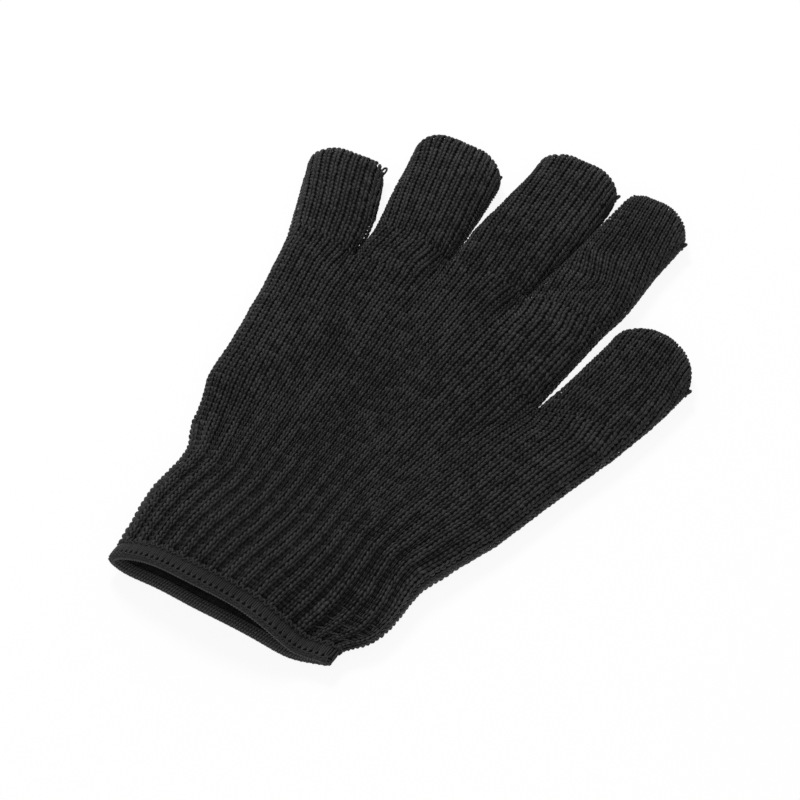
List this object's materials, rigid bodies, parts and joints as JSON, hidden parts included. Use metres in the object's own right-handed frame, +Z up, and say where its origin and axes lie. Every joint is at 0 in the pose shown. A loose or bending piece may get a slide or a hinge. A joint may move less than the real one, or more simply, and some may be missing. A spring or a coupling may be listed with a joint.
{
  "type": "knitted cut-resistant glove",
  "caption": "Seamless knitted cut-resistant work glove with a ribbed elastic cuff, a serged edge and closed fingertips; the wrist, the fingers and the thumb bend.",
  "frame": {"origin": "on the resting plane under the middle of the palm, with the glove lying flat and its palm up", "axes": "+Y from the wrist to the fingertips, +X to the thumb side, +Z up from the resting plane"},
  "size_m": [0.1699, 0.2323, 0.018],
  "materials": {
    "knit": "matt knitted yarn with a slight sheen",
    "rib_knit": "ribbed knit of the same yarn",
    "edge_thread": "fine dense serging thread",
    "elastic": "covered elastic yarn",
    "yarn_end": "loose end of yarn"
  },
  "bodies": {
    "hand": {"wrist_section": "knit", "hand_five_finger": "knit", "hand_four_finger": "knit", "hand_three_finger": "knit", "little_root_section": "knit", "ring_root_section": "knit", "middle_root_section": "knit", "index_root_section": "knit", "thumb_root_section": "knit"},
    "cuff": {"cuff_rib": "rib_knit", "cuff_edge": "edge_thread", "cuff_elastic_1": "elastic", "cuff_elastic_2": "elastic", "cuff_elastic_3": "elastic", "cuff_elastic_4": "elastic", "cuff_elastic_5": "elastic", "cuff_elastic_6": "elastic"},
    "little_lower": {"little_tube": "knit", "little_middle_section": "knit"},
    "little_end": {"little_tip": "knit", "little_yarn_end": "yarn_end"},
    "ring_lower": {"ring_tube": "knit", "ring_middle_section": "knit"},
    "ring_end": {"ring_tip": "knit", "ring_yarn_end": "yarn_end"},
    "middle_lower": {"middle_tube": "knit", "middle_middle_section": "knit"},
    "middle_end": {"middle_tip": "knit", "middle_yarn_end": "yarn_end"},
    "index_lower": {"index_tube": "knit", "index_middle_section": "knit"},
    "index_end": {"index_tip": "knit", "index_yarn_end": "yarn_end"},
    "thumb_lower": {"thumb_tube": "knit", "thumb_middle_section": "knit"},
    "thumb_end": {"thumb_tip": "knit", "thumb_yarn_end": "yarn_end"}
  },
  "joints": [
    {"name": "wrist_bend", "type": "hinge", "parent": "hand", "child": "cuff", "pos_m": [0.0035, -0.052, 0.0058], "axis": [-1, 0, 0], "range_deg": [0, 60], "deforming": ["wrist_section"]},
    {"name": "little_root_bend", "type": "hinge", "parent": "hand", "child": "little_lower", "pos_m": [-0.06126, 0.0477, 0.0058], "axis": [1, 0, 0], "range_deg": [0, 90], "deforming": ["little_root_section"]},
    {"name": "little_middle_bend", "type": "hinge", "parent": "little_lower", "child": "little_end", "pos_m": [-0.0683, 0.06617, 0.0058], "axis": [0.9345, 0.3559, 0], "range_deg": [0, 75], "deforming": ["little_middle_section"]},
    {"name": "ring_root_bend", "type": "hinge", "parent": "hand", "child": "ring_lower", "pos_m": [-0.03209, 0.0642, 0.0058], "axis": [1, 0, 0], "range_deg": [0, 90], "deforming": ["ring_root_section"]},
    {"name": "ring_middle_bend", "type": "hinge", "parent": "ring_lower", "child": "ring_end", "pos_m": [-0.03534, 0.0867, 0.0058], "axis": [0.9898, 0.1427, 0], "range_deg": [0, 75], "deforming": ["ring_middle_section"]},
    {"name": "middle_root_bend", "type": "hinge", "parent": "hand", "child": "middle_lower", "pos_m": [0.00042, 0.0642, 0.0058], "axis": [1, 0, 0], "range_deg": [0, 90], "deforming": ["middle_root_section"]},
    {"name": "middle_middle_bend", "type": "hinge", "parent": "middle_lower", "child": "middle_end", "pos_m": [0.00227, 0.09192, 0.0058], "axis": [0.9978, -0.0667, 0], "range_deg": [0, 75], "deforming": ["middle_middle_section"]},
    {"name": "index_root_bend", "type": "hinge", "parent": "hand", "child": "index_lower", "pos_m": [0.03211, 0.0642, 0.0058], "axis": [1, 0, 0], "range_deg": [0, 90], "deforming": ["index_root_section"]},
    {"name": "index_middle_bend", "type": "hinge", "parent": "index_lower", "child": "index_end", "pos_m": [0.03483, 0.08982, 0.0058], "axis": [0.9944, -0.1057, 0], "range_deg": [0, 75], "deforming": ["index_middle_section"]},
    {"name": "thumb_root_bend", "type": "hinge", "parent": "hand", "child": "thumb_lower", "pos_m": [0.06037, 0.0272, 0.0058], "axis": [1, 0, 0], "range_deg": [0, 70], "deforming": ["thumb_root_section"]},
    {"name": "thumb_middle_bend", "type": "hinge", "parent": "thumb_lower", "child": "thumb_end", "pos_m": [0.0642, 0.04753, 0.0058], "axis": [0.9827, -0.1853, 0], "range_deg": [0, 75], "deforming": ["thumb_middle_section"]}
  ]
}
